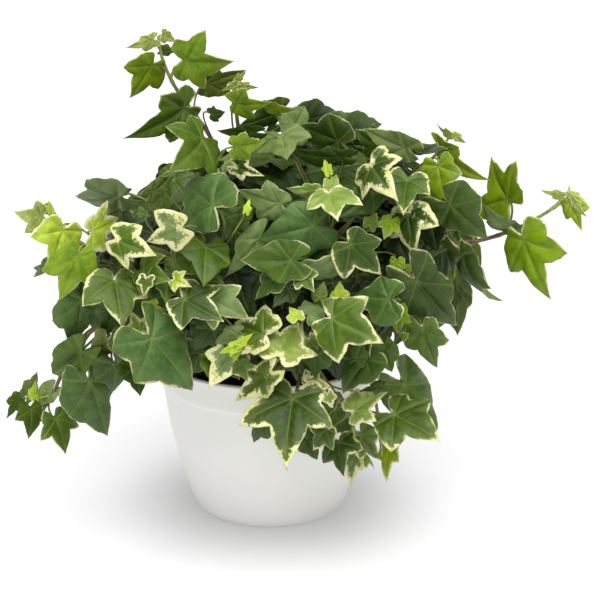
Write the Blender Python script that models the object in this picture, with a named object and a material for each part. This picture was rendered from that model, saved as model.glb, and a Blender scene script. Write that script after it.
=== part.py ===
"""Variegated ivy growing in a round white pot.

The pot stands on Z = 0 with its axis on Z. The potting soil fills it, the stems are rooted in the soil,
and each of the larger leaves hangs on its own petiole. Numbers are millimetres until a mesh is made.

Leaves and stems are placed on a plan: a sheet through the pot's foot that leans back by PLAN_LEAN, with x
across it, h up it, and a distance in front of it towards someone who looks at the plant from EYE.
"""

import math

import bmesh
import bpy
from mathutils import Matrix, Vector
from mathutils.bvhtree import BVHTree

MM = 0.001
GAP = 0.3

# The pot
POT_HEIGHT = 100.0
RIM_RADIUS = 69.0
FOOT_RADIUS = 41.0
WALL = 3.0
BAND_HEIGHT = 19.0
POT_STEPS = 36
DRAIN_RADIUS = 4.0
DRAIN_CIRCLE = 26.0
DRAIN_COUNT = 4

# The soil
SOIL_LEVEL = 88.0
SOIL_MOUND = 3.0
SOIL_STEPS = 36
ROOTED = 12.0
RISE = 8.0

# The plan that leaves and stems are placed on
PLAN_LEAN = math.radians(18.0)
PLAN_ACROSS = Vector((1.0, 0.0, 0.0))
PLAN_UP = Vector((0.0, math.sin(PLAN_LEAN), math.cos(PLAN_LEAN)))
PLAN_OUT = Vector((0.0, -math.cos(PLAN_LEAN), math.sin(PLAN_LEAN)))
EYE = 18.75 * PLAN_ACROSS + 125.0 * PLAN_UP + 1400.0 * PLAN_OUT

# The canopy is an egg of leaves, with a skirt that hangs clear of the pot's rim
CANOPY_CENTRE = Vector((0.0, 0.0, 150.0))
CANOPY_RADII = Vector((145.0, 115.0, 105.0))
SKIRT_RADIUS = 85.0
SKIRT_TOP = 80.0

# How a leaf is set on its midrib: how steeply the midrib may slope away from the plan, how far the blade leans
# to the outside of the canopy, and when it is narrow enough to be an ordinary blade seen on its edge
STEEPEST = 0.8
MOST_TIPPED = 1.5
LEAN_SHARE = 0.55
MOST_LEAN = math.radians(34.0)
EDGE_ON = 0.5
ORDINARY = 0.74

# Stems and petioles
STEM_RADIUS = 1.7
STEM_TIP_RADIUS = 0.9
STEM_POINTS = 13
PETIOLE_RADIUS = 0.8
PETIOLE_SIDES = 5
PETIOLE_POINTS = 6

# Leaves, half a blade in units of its length: x across, y along the midrib from the petiole to the tip
LEAF_THICKNESS = 0.8
HEART_OF_LEAF = (0.0, 0.12)
LOBED = [(0.0, 1.0), (0.15, 0.72), (0.25, 0.50), (0.59, 0.41), (0.50, 0.26),
         (0.45, 0.15), (0.46, -0.09), (0.26, -0.20), (0.11, -0.16), (0.0, -0.02)]
BROAD = [(0.0, 1.0), (0.20, 0.76), (0.33, 0.58), (0.59, 0.40), (0.59, 0.25),
         (0.56, 0.12), (0.46, -0.14), (0.26, -0.24), (0.11, -0.18), (0.0, -0.02)]
FULL_WIDTH = 1.18

# Each stem: where it is rooted (x, y), then points (x, h, out) of its route on the plan
STEMS = {
    "top_left": ((-12, 2), [(-22, 140, 38), (-27, 200, 56), (-38, 228, 64), (-58, 256, 70), (-67, 275, 72), (-70, 290, 73)]),
    "top_middle": ((-2, 12), [(-12, 160, 38), (-19, 225, 62), (-22, 250, 68), (-22, 260, 70)]),
    "top_back": ((8, 26), [(20, 150, 12), (34, 195, 22), (46, 222, 30), (58, 232, 34)]),
    "top_right": ((18, 10), [(48, 150, 42), (78, 192, 58), (100, 212, 62), (113, 228, 62)]),
    "right_runner": ((27, -2), [(66, 135, 62), (100, 157, 70), (130, 162, 72), (155, 170, 72), (178, 183, 72), (187, 190, 72)]),
    "right_low": ((26, -17), [(56, 118, 92), (78, 118, 100), (90, 110, 98)]),
    "front_right": ((15, -30), [(40, 98, 104), (58, 86, 104), (66, 62, 88), (70, 28, 74)]),
    "front_middle": ((2, -38), [(14, 84, 108), (26, 84, 118), (38, 70, 120), (50, 52, 116), (53, 40, 110)]),
    "front_left": ((-10, -36), [(-4, 84, 108), (-8, 88, 120), (-19, 95, 126)]),
    "left_low": ((-27, -18), [(-68, 112, 84), (-103, 110, 70), (-122, 96, 62), (-134, 70, 60), (-142, 56, 60), (-152, 42, 60)]),
    "left_middle": ((-29, -3), [(-66, 128, 78), (-98, 143, 74), (-112, 156, 70), (-124, 165, 68), (-137, 177, 66), (-138, 186, 66)]),
    "left_top": ((-20, 15), [(-48, 142, 40), (-70, 170, 44), (-84, 178, 40), (-92, 186, 38)]),
    "crown_left": ((-14, -18), [(-24, 120, 84), (-34, 142, 112), (-30, 160, 122)]),
    "crown_right": ((8, -20), [(16, 120, 84), (30, 146, 110), (34, 172, 116), (34, 190, 110)]),
    "back_left": ((-14, 30), [(-50, 130, -34), (-84, 158, -44), (-104, 166, -40)]),
    "back_middle": ((0, 42), [(-6, 140, -40), (-4, 152, -72), (-2, 134, -92)]),
    "back_right": ((18, 33), [(54, 132, -34), (84, 162, -42), (106, 168, -38)]),
}

# The larger leaves: name, stem, base (x, h), tip (x, h), width as it looks, lift off the canopy, outline
LEAVES = [
    ("front_hero", "front_middle", (15, 66), (5, 22), 50, 22, LOBED),
    ("left_hero", "left_low", (-76, 103), (-45, 67), 42, 26, BROAD),
    ("front_right_back", "front_right", (82, 74), (107, 40), 32, -22, BROAD),
    ("front_right_front", "front_right", (76, 54), (107, 38), 38, 30, LOBED),
    ("front_star", "crown_right", (37, 114), (69, 100), 38, 16, LOBED),
    ("front_cream", "front_left", (-2, 103), (-27, 111), 34, 12, LOBED),
    ("top_left_lime", "top_left", (-54, 275), (-24, 270), 32, 22, LOBED),
    ("top_left_big", "top_left", (-53, 246), (-83, 223), 30, 24, LOBED),
    ("top_left_curled", "top_left", (-73, 273), (-88, 251), 22, 20, LOBED),
    ("top_left_low", "top_left", (-42, 226), (-54, 207), 38, 34, LOBED),
    ("top_middle_lime", "top_middle", (-22, 248), (-1, 245), 17, 42, LOBED),
    ("top_back_broad", "top_back", (44, 224), (17, 234), 26, 6, BROAD),
    ("top_right_grey", "top_right", (86, 220), (58, 230), 18, 20, BROAD),
    ("top_right_cream", "top_right", (63, 210), (75, 192), 34, 26, LOBED),
    ("top_right_lime", "top_right", (105, 210), (110, 184), 27, 34, LOBED),
    ("runner_upright", "right_runner", (150, 186), (132, 212), 34, 28, LOBED),
    ("runner_bright", "right_runner", (158, 165), (172, 124), 33, 34, LOBED),
    ("runner_hanging", "right_runner", (120, 156), (137, 114), 19, 26, LOBED),
    ("runner_arched", "right_runner", (111, 186), (137, 163), 30, 22, BROAD),
    ("runner_tip", "right_runner", (187, 187), (196, 168), 15, 22, LOBED),
    ("right_big", "right_low", (90, 139), (117, 103), 34, 12, BROAD),
    ("right_small", "right_low", (95, 109), (103, 79), 25, 6, LOBED),
    ("left_hanging", "left_low", (-114, 76), (-99, 39), 34, 28, BROAD),
    ("left_tip", "left_low", (-150, 58), (-148, 39), 19, 4, LOBED),
    ("left_dark", "left_low", (-118, 127), (-121, 95), 28, 10, BROAD),
    ("left_yellow", "left_middle", (-129, 170), (-138, 143), 29, 40, LOBED),
    ("left_light", "left_middle", (-97, 139), (-93, 110), 34, 20, LOBED),
    ("left_top_grey", "left_top", (-93, 190), (-126, 185), 20, 4, BROAD),
    ("left_top_blue", "left_top", (-34, 183), (-57, 202), 38, 22, BROAD),
    ("crown_heart", "crown_left", (-40, 159), (-42, 136), 31, 12, BROAD),
    ("crown_centre", "crown_right", (15, 150), (-19, 148), 28, 12, BROAD),
    ("crown_right", "crown_right", (49, 161), (71, 140), 29, 14, LOBED),
]

# Leaves round the back, in tiers: compass angles from straight back, height on the canopy and blade length
BACK_TIERS = [((-62, 0, 62), 50.0, 40.0), ((-84, -42, 0, 42, 84), 12.0, 44.0), ((0,), -24.0, 42.0)]
BACK_STEMS = ("back_left", "back_middle", "back_right")


def clear_scene():
    for thing in list(bpy.data.objects):
        bpy.data.objects.remove(thing)


def material(name, colour, roughness):
    made = bpy.data.materials.new(name)
    made.use_nodes = True
    shader = made.node_tree.nodes["Principled BSDF"]
    shader.inputs["Base Color"].default_value = (*colour, 1.0)
    shader.inputs["Roughness"].default_value = roughness
    shader.inputs["Metallic"].default_value = 0.0
    return made


def object_from(bm, name, finish):
    """One object from a bmesh in millimetres."""
    bmesh.ops.scale(bm, vec=(MM, MM, MM), verts=bm.verts)
    bmesh.ops.recalc_face_normals(bm, faces=bm.faces)
    mesh = bpy.data.meshes.new(name)
    bm.to_mesh(mesh)
    bm.free()
    mesh.materials.append(finish)
    made = bpy.data.objects.new(name, mesh)
    bpy.context.scene.collection.objects.link(made)
    return made


def as_cutter(thing):
    thing.hide_render = True
    thing.display_type = "WIRE"
    return thing


def boolean(thing, other, operation):
    cut = thing.modifiers.new(operation.lower(), "BOOLEAN")
    cut.operation = operation
    cut.object = other
    cut.solver = "EXACT"


# ---------------------------------------------------------------- pot and soil

def pot_profile():
    """(radius, height) round the wall's section: up the outside, over the rim and down the inside."""
    band_foot = POT_HEIGHT - BAND_HEIGHT
    outside = [(FOOT_RADIUS, 0.0), (FOOT_RADIUS + 3.3, 1.5), (47.6, 6.8), (52.1, 20.0), (56.9, 37.0),
               (61.0, 54.0), (65.1, band_foot - 0.8), (66.0, band_foot + 0.5), (68.3, POT_HEIGHT - 4.0),
               (RIM_RADIUS, POT_HEIGHT - 1.2), (RIM_RADIUS - 1.0, POT_HEIGHT)]
    inside = [(RIM_RADIUS - WALL, POT_HEIGHT), (RIM_RADIUS - WALL - 0.8, POT_HEIGHT - 1.5), (62.2, band_foot),
              (58.0, 54.0), (53.9, 37.0), (49.0, 20.0), (43.4, 7.0), (38.0, 4.0)]
    return outside, inside


def turned(name, profile, steps, finish):
    """A solid of revolution round Z from a profile whose ends both lie on the axis."""
    bm = bmesh.new()
    spun = [bm.verts.new((radius, 0.0, height)) for radius, height in profile]
    edges = [bm.edges.new(pair) for pair in zip(spun, spun[1:])]
    bmesh.ops.spin(bm, geom=spun + edges, axis=(0, 0, 1), cent=(0, 0, 0), angle=math.tau, steps=steps)
    bmesh.ops.remove_doubles(bm, verts=bm.verts, dist=0.001)
    return object_from(bm, name, finish)


def build_pot(finish):
    outside, inside = pot_profile()
    pot = turned("pot", [(0.0, 0.0), *outside, *inside, (0.0, 4.0)], POT_STEPS, finish)
    bm = bmesh.new()
    for i in range(DRAIN_COUNT):
        turn = math.tau * (i + 0.5) / DRAIN_COUNT
        place = Vector((math.cos(turn), math.sin(turn), 0.0)) * DRAIN_CIRCLE
        bmesh.ops.create_cone(bm, cap_ends=True, segments=12, radius1=DRAIN_RADIUS, radius2=DRAIN_RADIUS,
                              depth=20.0, matrix=Matrix.Translation(place))
    holes = as_cutter(object_from(bm, "drain_holes", finish))
    boolean(pot, holes, "DIFFERENCE")
    pot.data.shade_smooth()
    pot.data.set_sharp_from_angle(angle=math.radians(35))
    return pot


def build_soil(finish, stem_routes):
    """The root ball: it fills the pot to a low mound, and each stem stands in a hole of its own."""
    _, inside = pot_profile()
    wall = [(radius - GAP, max(height, 4.0) + GAP) for radius, height in reversed(inside) if height < SOIL_LEVEL]
    top = [(62.4, SOIL_LEVEL - 1.0), (50.0, SOIL_LEVEL + 0.6), (25.0, SOIL_LEVEL + SOIL_MOUND - 0.6)]
    soil = turned("soil", [(0.0, 4.0 + GAP), *wall, *top, (0.0, SOIL_LEVEL + SOIL_MOUND)], SOIL_STEPS, finish)
    bm = bmesh.new()
    for route in stem_routes.values():
        below = route[0] - Vector((0.0, 0.0, 2.0))
        above = route[0] + Vector((0.0, 0.0, ROOTED + RISE))
        bmesh.ops.create_cone(bm, cap_ends=True, segments=8, radius1=STEM_RADIUS + 1.2, radius2=STEM_RADIUS + 1.2,
                              depth=(above - below).length, matrix=Matrix.Translation((above + below) / 2))
    sockets = as_cutter(object_from(bm, "stem_sockets", finish))
    boolean(soil, sockets, "DIFFERENCE")
    return soil


# ---------------------------------------------------------------- places

def plan_point(x, h, out=0.0):
    flat = x * PLAN_ACROSS + h * PLAN_UP
    return flat + (EYE - flat).normalized() * out


def canopy_depth(x, h):
    """How far in front of the plan the canopy's near side is, or its nearest pass where a sight line misses it."""
    stretch = Vector(1.0 / r for r in CANOPY_RADII)
    start = (plan_point(x, h) - CANOPY_CENTRE) * stretch
    sight = (EYE - plan_point(x, h)).normalized() * stretch
    a, b, c = sight.dot(sight), start.dot(sight), start.dot(start) - 1.0
    depth = (-b + math.sqrt(max(0.0, b * b - a * c))) / a
    if h < SKIRT_TOP and abs(x) < SKIRT_RADIUS:
        front = -math.sqrt(SKIRT_RADIUS ** 2 - x * x)
        depth = max(depth, (h * math.sin(PLAN_LEAN) - front) / math.cos(PLAN_LEAN))
    return depth


def canopy_normal(point):
    return Vector((p - c) / (r * r) for p, c, r in zip(point, CANOPY_CENTRE, CANOPY_RADII)).normalized()


def smooth_route(points, count):
    """Evenly numbered points on a Catmull-Rom curve through the route's own points."""
    padded = [2 * points[0] - points[1], *points, 2 * points[-1] - points[-2]]
    found = []
    for i in range(count):
        place = i / (count - 1) * (len(points) - 1)
        k = min(int(place), len(points) - 2)
        t = place - k
        p0, p1, p2, p3 = padded[k:k + 4]
        found.append(0.5 * (2 * p1 + (p2 - p0) * t + (2 * p0 - 5 * p1 + 4 * p2 - p3) * t * t
                            + (3 * p1 - p0 - 3 * p2 + p3) * t ** 3))
    return found


def stem_route(root, points):
    x, y = root
    buried = Vector((x, y, SOIL_LEVEL - ROOTED))
    risen = Vector((x, y, SOIL_LEVEL + RISE))
    return [buried, *smooth_route([risen, *(plan_point(*p) for p in points)], STEM_POINTS - 1)]


def leaf_frame(base, tip, facing, roll, width):
    """The blade's matrix: X across, Y along the midrib, Z off its upper face; X takes the width, the rest the length."""
    length = (tip - base).length
    along = (tip - base) / length
    facing = (facing - facing.dot(along) * along).normalized()
    facing = Matrix.Rotation(roll, 3, along) @ facing
    across = along.cross(facing) * (width / FULL_WIDTH)
    return Matrix.Translation(base) @ Matrix((across, along * length, facing * length)).transposed().to_4x4()


def front_leaf(base, tip, width, lift):
    """A leaf laid on the canopy between two places on the plan, as wide as it looks from the eye."""
    looks = math.dist(base, tip)
    depth = canopy_depth(*base)
    slope = max(-STEEPEST * looks, min(STEEPEST * looks, canopy_depth(*tip) - depth))
    if width > looks:
        slope = math.copysign(min(MOST_TIPPED * looks, math.sqrt(width ** 2 - looks ** 2)), base[1] - tip[1])
    near, far = plan_point(*base, depth + lift), plan_point(*tip, depth + lift + slope)
    sight, normal, along = (EYE - near).normalized(), canopy_normal(near), (far - near).normalized()
    beside = along.cross(sight)
    lean = math.atan2(-normal.dot(beside), normal.dot(beside.cross(along)))
    length = (far - near).length
    if width < EDGE_ON * length:
        roll = math.copysign(math.acos(width / (ORDINARY * length)), lean)
        return leaf_frame(near, far, sight, roll, ORDINARY * length)
    roll = max(-MOST_LEAN, min(MOST_LEAN, LEAN_SHARE * lean))
    return leaf_frame(near, far, sight, roll, width / math.cos(roll))


def back_leaf(compass, rise, length):
    """A leaf that lies along the back of the canopy with its tip down, at a compass angle from straight back."""
    turn, climb = math.radians(compass), math.radians(rise)
    outward = Vector((math.sin(turn) * math.cos(climb), math.cos(turn) * math.cos(climb), math.sin(climb)))
    base = CANOPY_CENTRE + outward * CANOPY_RADII
    facing = canopy_normal(base) + Vector((0.0, 0.0, 0.35))
    downhill = Vector((0.0, 0.0, -1.0)) + facing.z * facing / facing.length_squared
    return leaf_frame(base, base + downhill.normalized() * length, facing, 0.0, length)


# ---------------------------------------------------------------- stems and leaves

def build_stem(name, route, finish):
    curve = bpy.data.curves.new(name, "CURVE")
    curve.dimensions = "3D"
    curve.bevel_depth = STEM_RADIUS * MM
    curve.bevel_resolution = 1
    curve.use_fill_caps = True
    spline = curve.splines.new("POLY")
    spline.points.add(len(route) - 1)
    for i, (point, place) in enumerate(zip(spline.points, route)):
        point.co = (*(place * MM), 1.0)
        point.radius = 1.0 + (STEM_TIP_RADIUS / STEM_RADIUS - 1.0) * i / (len(route) - 1)
    curve.materials.append(finish)
    made = bpy.data.objects.new(name, curve)
    bpy.context.scene.collection.objects.link(made)
    return made


def sag(x, y):
    """How far the blade's face rises from its plane: folded a little at the midrib, with drooping lobes and tip."""
    return 0.16 * abs(x) - 0.34 * x * x - 0.14 * max(0.0, y) ** 2


def blade_mesh(outline, frame, swell=0.0):
    """A thin plate in the leaf's outline, curved by sag(); swell thickens it, to test for a clearance."""
    rim = outline + [(-x, y) for x, y in reversed(outline[1:-1])]
    half = (LEAF_THICKNESS / 2 + swell) / frame.to_scale().z
    bm = bmesh.new()
    faces = []
    for side in (half, -half):
        ring = [bm.verts.new(frame @ Vector((x, y, sag(x, y) + side))) for x, y in rim]
        heart = bm.verts.new(frame @ Vector((*HEART_OF_LEAF, sag(*HEART_OF_LEAF) + side)))
        faces.append((ring, heart))
    for ring, heart in faces:
        for i, corner in enumerate(ring):
            bm.faces.new((heart, corner, ring[(i + 1) % len(ring)]))
    upper, lower = faces[0][0], faces[1][0]
    for i in range(len(upper)):
        k = (i + 1) % len(upper)
        bm.faces.new((upper[i], upper[k], lower[k], lower[i]))
    return bm


def petiole_mesh(path, swell=0.0):
    """A tube along the path, closed at both ends."""
    radius = PETIOLE_RADIUS + swell
    bm = bmesh.new()
    rings = []
    for i, place in enumerate(path):
        ahead = (path[min(i + 1, len(path) - 1)] - path[max(i - 1, 0)]).normalized()
        turn = Vector((0, 0, 1)).rotation_difference(ahead).to_matrix()
        ring = []
        for k in range(PETIOLE_SIDES):
            angle = math.tau * k / PETIOLE_SIDES
            ring.append(bm.verts.new(place + turn @ Vector((math.cos(angle), math.sin(angle), 0.0)) * radius))
        rings.append(ring)
    for low, high in zip(rings, rings[1:]):
        for k in range(PETIOLE_SIDES):
            m = (k + 1) % PETIOLE_SIDES
            bm.faces.new((low[k], low[m], high[m], high[k]))
    bm.faces.new(rings[0][::-1])
    bm.faces.new(rings[-1])
    return bm


def petiole_path(route, shift, bow, frame):
    """From the side of the stem to just through the blade's foot, sagging by bow on the way."""
    base = frame @ Vector((0.0, 0.06, sag(0.0, 0.06)))
    facing = (frame.to_3x3() @ Vector((0, 0, 1))).normalized()
    nearest = min(range(3, len(route)), key=lambda i: (route[i] - base).length)
    root = route[max(3, min(len(route) - 1, nearest + shift))]
    leaving = (base - root).normalized()
    start = root + leaving * (STEM_RADIUS + GAP + PETIOLE_RADIUS)
    end = base + facing * 0.9
    middle = (start + end) / 2 + Vector((0, 0, 1)) * bow - facing * 0.12 * (end - start).length
    path = []
    for i in range(PETIOLE_POINTS):
        t = i / (PETIOLE_POINTS - 1)
        path.append((1 - t) ** 2 * start + 2 * t * (1 - t) * middle + t * t * end)
    return path


def clears(bm, others):
    """Whether the mesh stays out of all the trees; the mesh is freed."""
    tree = BVHTree.FromBMesh(bm)
    bm.free()
    return not any(tree.overlap(other) for other in others)


def clear_place(name, route, frame, outline, others):
    """The leaf's frame, eased off its face until the blade is clear, and a clear course for its petiole."""
    facing = (frame.to_3x3() @ Vector((0, 0, 1))).normalized()
    for ease in (0, 2, -2, 4, -4, 6, -6, 9, -9, 12, -12, 16, -16, 20, -20):
        eased = Matrix.Translation(facing * ease) @ frame
        if not clears(blade_mesh(outline, eased, GAP), others):
            continue
        for bow in (0, 5, -5, 10, -10, 16):
            for shift in (-1, 0, 1, -2, 2, -3, -4, -5):
                path = petiole_path(route, shift, bow, eased)
                if clears(petiole_mesh(path, GAP), others):
                    return eased, path
    print(f"{name}: no clear place")
    return frame, petiole_path(route, -1, 0, frame)


def build_leaf(name, route, frame, outline, finish, others):
    """One leaf: its blade and its petiole as a single body."""
    frame, path = clear_place(name, route, frame, outline, others)
    blade, petiole = blade_mesh(outline, frame), petiole_mesh(path)
    others += [BVHTree.FromBMesh(blade), BVHTree.FromBMesh(petiole)]
    stalk = as_cutter(object_from(petiole, name + "_petiole", finish))
    leaf = object_from(blade, name, finish)
    boolean(leaf, stalk, "UNION")
    return leaf


def nearest_stem(routes, names, place):
    return min(names, key=lambda n: min((p - place).length for p in routes[n][3:]))


def evaluated_tree(thing):
    """A tree of the object's evaluated mesh, in millimetres."""
    bpy.context.view_layer.update()
    graph = bpy.context.evaluated_depsgraph_get()
    bm = bmesh.new()
    bm.from_mesh(thing.evaluated_get(graph).to_mesh())
    bmesh.ops.scale(bm, vec=(1 / MM, 1 / MM, 1 / MM), verts=bm.verts)
    return BVHTree.FromBMesh(bm)


def main():
    clear_scene()
    white = material("pot_white", (0.80, 0.80, 0.78), 0.35)
    earth = material("soil", (0.035, 0.022, 0.015), 0.95)
    bark = material("stem", (0.16, 0.10, 0.045), 0.65)
    green = material("leaf_green", (0.055, 0.13, 0.035), 0.42)

    routes = {name: stem_route(*course) for name, course in STEMS.items()}
    pot = build_pot(white)
    soil = build_soil(earth, routes)
    stems = [build_stem("stem_" + name, route, bark) for name, route in routes.items()]
    others = [evaluated_tree(thing) for thing in (pot, soil, *stems)]

    for name, stem, base, tip, width, lift, outline in LEAVES:
        frame = front_leaf(base, tip, width, lift)
        build_leaf("leaf_" + name, routes[stem], frame, outline, green, others)

    count = 0
    for compasses, rise, length in BACK_TIERS:
        for compass in compasses:
            count += 1
            frame = back_leaf(compass, rise, length)
            stem = nearest_stem(routes, BACK_STEMS, frame.translation)
            build_leaf(f"leaf_back_{count}", routes[stem], frame, BROAD, green, others)


main()
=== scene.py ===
# %% [markdown]
# # Variegated ivy in a white pot
# The imported model is loaded first. It is the frame that every visible piece is fitted to: the pot, the
# soil, the stems and the larger leaves are all there as plain solids, in metres, with Z up and the pot's foot
# on Z = 0. Its pieces are kept in the scene, only hidden, where modelled ones take their place.

# %% Load the frame
import math
import random

import bmesh
import bpy
import numpy as np
from mathutils import Matrix, Vector, noise
from mathutils.bvhtree import BVHTree


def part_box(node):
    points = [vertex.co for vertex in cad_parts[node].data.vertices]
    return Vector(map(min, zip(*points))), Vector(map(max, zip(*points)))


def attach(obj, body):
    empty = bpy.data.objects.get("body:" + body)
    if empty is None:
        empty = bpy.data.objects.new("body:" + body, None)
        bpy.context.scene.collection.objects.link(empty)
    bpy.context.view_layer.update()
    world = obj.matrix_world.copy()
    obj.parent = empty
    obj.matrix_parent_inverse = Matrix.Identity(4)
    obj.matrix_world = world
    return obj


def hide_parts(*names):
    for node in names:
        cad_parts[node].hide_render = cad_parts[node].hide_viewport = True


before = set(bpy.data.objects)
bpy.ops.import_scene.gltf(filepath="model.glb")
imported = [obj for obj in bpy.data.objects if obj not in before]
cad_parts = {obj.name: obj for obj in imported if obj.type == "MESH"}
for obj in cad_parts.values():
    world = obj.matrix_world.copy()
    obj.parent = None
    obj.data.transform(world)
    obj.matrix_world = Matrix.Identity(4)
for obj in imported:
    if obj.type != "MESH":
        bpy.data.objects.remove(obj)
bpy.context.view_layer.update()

# %% [markdown]
# ## Looking at the plant
# The plant is looked at from far off and a little above the foliage, so that it hardly widens towards the
# eye. The camera looks straight at a sheet that stands through the pot's foot and leans back with the view.
# The same sheet, called the plan here, is where leaves are laid out later: across, up, and out to the eye.

# %% Camera and plan
MM = 0.001
LEAN = math.radians(18.0)
ACROSS = Vector((1.0, 0.0, 0.0))
UP = Vector((0.0, math.sin(LEAN), math.cos(LEAN)))
OUT = Vector((0.0, -math.cos(LEAN), math.sin(LEAN)))
AIM = 18.75 * ACROSS + 125.0 * UP
EYE_DISTANCE = 1400.0
EYE = AIM + EYE_DISTANCE * OUT
PLAN_WIDTH = 375.0


def on_plan(x, h, out=0.0):
    """A place in millimetres: x across the plan and h up it, then out along the sight line."""
    flat = x * ACROSS + h * UP
    return flat + (EYE - flat).normalized() * out


def add_object(name, data):
    made = bpy.data.objects.new(name, data)
    bpy.context.scene.collection.objects.link(made)
    return made


camera_data = bpy.data.cameras.new("plan_lens")
camera_data.sensor_width = 36.0
camera_data.lens = EYE_DISTANCE * camera_data.sensor_width / PLAN_WIDTH
camera = add_object("plan_camera", camera_data)
camera.matrix_world = Matrix.Translation(EYE * MM) @ Matrix((ACROSS, UP, OUT)).transposed().to_4x4()
bpy.context.scene.camera = camera
print("lens", round(camera_data.lens), "mm, eye at", [round(c) for c in EYE], "mm")

# %% [markdown]
# ## Light and floor
# Foliage needs two kinds of light: a broad soft one from above, which gives every waxy leaf a pale sheen
# and leaves the gaps dark, and a weak fill from all round. A sun with a very large disc does the first job
# evenly over the whole floor, where an area light would fall off and leave the far floor grey. A second,
# weak sun stands low in front: it brightens the pot's upright wall and hardly touches the floor.

# %% Soft studio light on a pale floor
FLOOR_SIZE = 12.0
KEY_STRENGTH = 3.35
FRONT_STRENGTH = 0.24
FILL_STRENGTH = 0.36


def add_sun(name, strength, softness, *turn):
    """A sun that points straight down, turned by degrees about X, Y and Z."""
    data = bpy.data.lights.new(name, "SUN")
    data.energy = strength
    data.angle = math.radians(softness)
    add_object(name, data).rotation_euler = [math.radians(angle) for angle in turn]


add_sun("soft_key", KEY_STRENGTH, 66.0, 20.0, 1.0, 0.0)
add_sun("low_front", FRONT_STRENGTH, 40.0, 80.0, 0.0, 16.0)

world = bpy.data.worlds.new("studio")
world.use_nodes = True
sky = world.node_tree.nodes["Background"]
sky.inputs["Color"].default_value = (0.97, 0.98, 1.0, 1.0)
sky.inputs["Strength"].default_value = FILL_STRENGTH
bpy.context.scene.world = world
bpy.context.scene.view_settings.view_transform = "Standard"

floor_mesh = bpy.data.meshes.new("floor")
corners = [(x * FLOOR_SIZE / 2, y * FLOOR_SIZE / 2, 0) for x, y in ((-1, -1), (1, -1), (1, 1), (-1, 1))]
floor_mesh.from_pydata(corners, [], [(0, 1, 2, 3)])
floor = add_object("floor", floor_mesh)
print("key", KEY_STRENGTH, "front", FRONT_STRENGTH, "fill", FILL_STRENGTH)

# %% [markdown]
# ## A few words for writing materials
# Every finish below is a small graph of nodes. These helpers make one node each and join it up, so that a
# finish can be read from top to bottom like a recipe. A plain number or colour is set on the socket itself.

# %% Helpers for materials
class Finish:
    """A material under way: each helper adds one node to its graph and gives back what comes out of it."""

    def __init__(self, name):
        self.material = bpy.data.materials.new(name)
        self.material.use_nodes = True
        self.tree = self.material.node_tree
        self.shader = self.tree.nodes["Principled BSDF"]

    def feed(self, socket, value):
        if isinstance(value, bpy.types.NodeSocket):
            self.tree.links.new(value, socket)
        else:
            socket.default_value = value

    def set(self, name, value):
        self.feed(self.shader.inputs[name], value)

    def node(self, kind, inputs, output=0, **settings):
        made = self.tree.nodes.new("ShaderNode" + kind)
        for name, value in settings.items():
            setattr(made, name, value)
        for name, value in inputs.items():
            self.feed(made.inputs[name], value)
        return made.outputs[output]

    def calc(self, operation, *values):
        return self.node("Math", dict(enumerate(values)), operation=operation)

    def times(self, first, second):
        return self.calc("MULTIPLY", first, second)

    def plus(self, first, second):
        return self.calc("ADD", first, second)

    def minus(self, first, second):
        return self.calc("SUBTRACT", first, second)

    def step(self, value, low, high, out_low=0.0, out_high=1.0):
        """Smoothly from out_low to out_high as value goes from low to high."""
        inputs = {"Value": value, "From Min": low, "From Max": high, "To Min": out_low, "To Max": out_high}
        return self.node("MapRange", inputs, "Result", interpolation_type="SMOOTHSTEP")

    def blend(self, factor, first, second, how="MIX"):
        return self.node("Mix", {"Factor": factor, 6: first, 7: second}, 2, data_type="RGBA", blend_type=how)

    def mottle(self, vector, scale, detail=3.0, roughness=0.55):
        inputs = {"Vector": vector, "Scale": scale, "Detail": detail, "Roughness": roughness}
        return self.node("TexNoise", inputs, "Fac")

    def surface_point(self):
        return self.node("TexCoord", {}, "Object")

    def painted(self, name, output="Fac"):
        """A value that was painted on the mesh's points."""
        return self.node("Attribute", {}, output, attribute_name=name)

    def parts(self, vector):
        """The X, Y and Z of a vector."""
        return self.node("SeparateXYZ", {0: vector}).node.outputs

    def bump(self, height, strength, distance):
        inputs = {"Height": height, "Strength": strength, "Distance": distance}
        self.set("Normal", self.node("Bump", inputs, "Normal"))


def linear(red, green, blue):
    """A colour given as 0 to 255, as the linear value that a shader wants."""
    return tuple((c / 255.0) ** 2.2 for c in (red, green, blue)) + (1.0,)


# %% [markdown]
# The floor is a sheet of matt studio paper with painted light: it glows by emission in the shader, though it
# is no lamp, so that shadows on it stay soft and pale. The glow fades towards the place where the pot stands,
# which paints a shadow that is deepest close round the foot. A breath of mottling lies over the paper.

# %% Floor paper
# Painted glow of the paper: its emission strength rises between these distances from the pot's axis, in
# metres.
PAINTED_SHADOW_REACH = (0.030, 0.125)
PAINTED_GLOW = (0.27, 0.67)

paper = Finish("floor_paper")
grain = paper.mottle(paper.surface_point(), 3.0)
paper.set("Base Color", paper.blend(grain, (0.35, 0.35, 0.35, 1), (0.37, 0.37, 0.37, 1)))
reach = paper.node("VectorMath", {0: paper.surface_point()}, "Value", operation="LENGTH")
paper.set("Emission Color", (1.0, 1.0, 1.0, 1.0))
# Painted shadow round the foot: the paper's glow is weakest near the pot's axis.
paper.set("Emission Strength", paper.step(reach, *PAINTED_SHADOW_REACH, *PAINTED_GLOW))
paper.set("Roughness", 0.9)
paper.set("Specular IOR Level", 0.2)
floor_mesh.materials.append(paper.material)
print("the floor glows", PAINTED_GLOW[0], "under the pot and", PAINTED_GLOW[1], "far from it")

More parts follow.
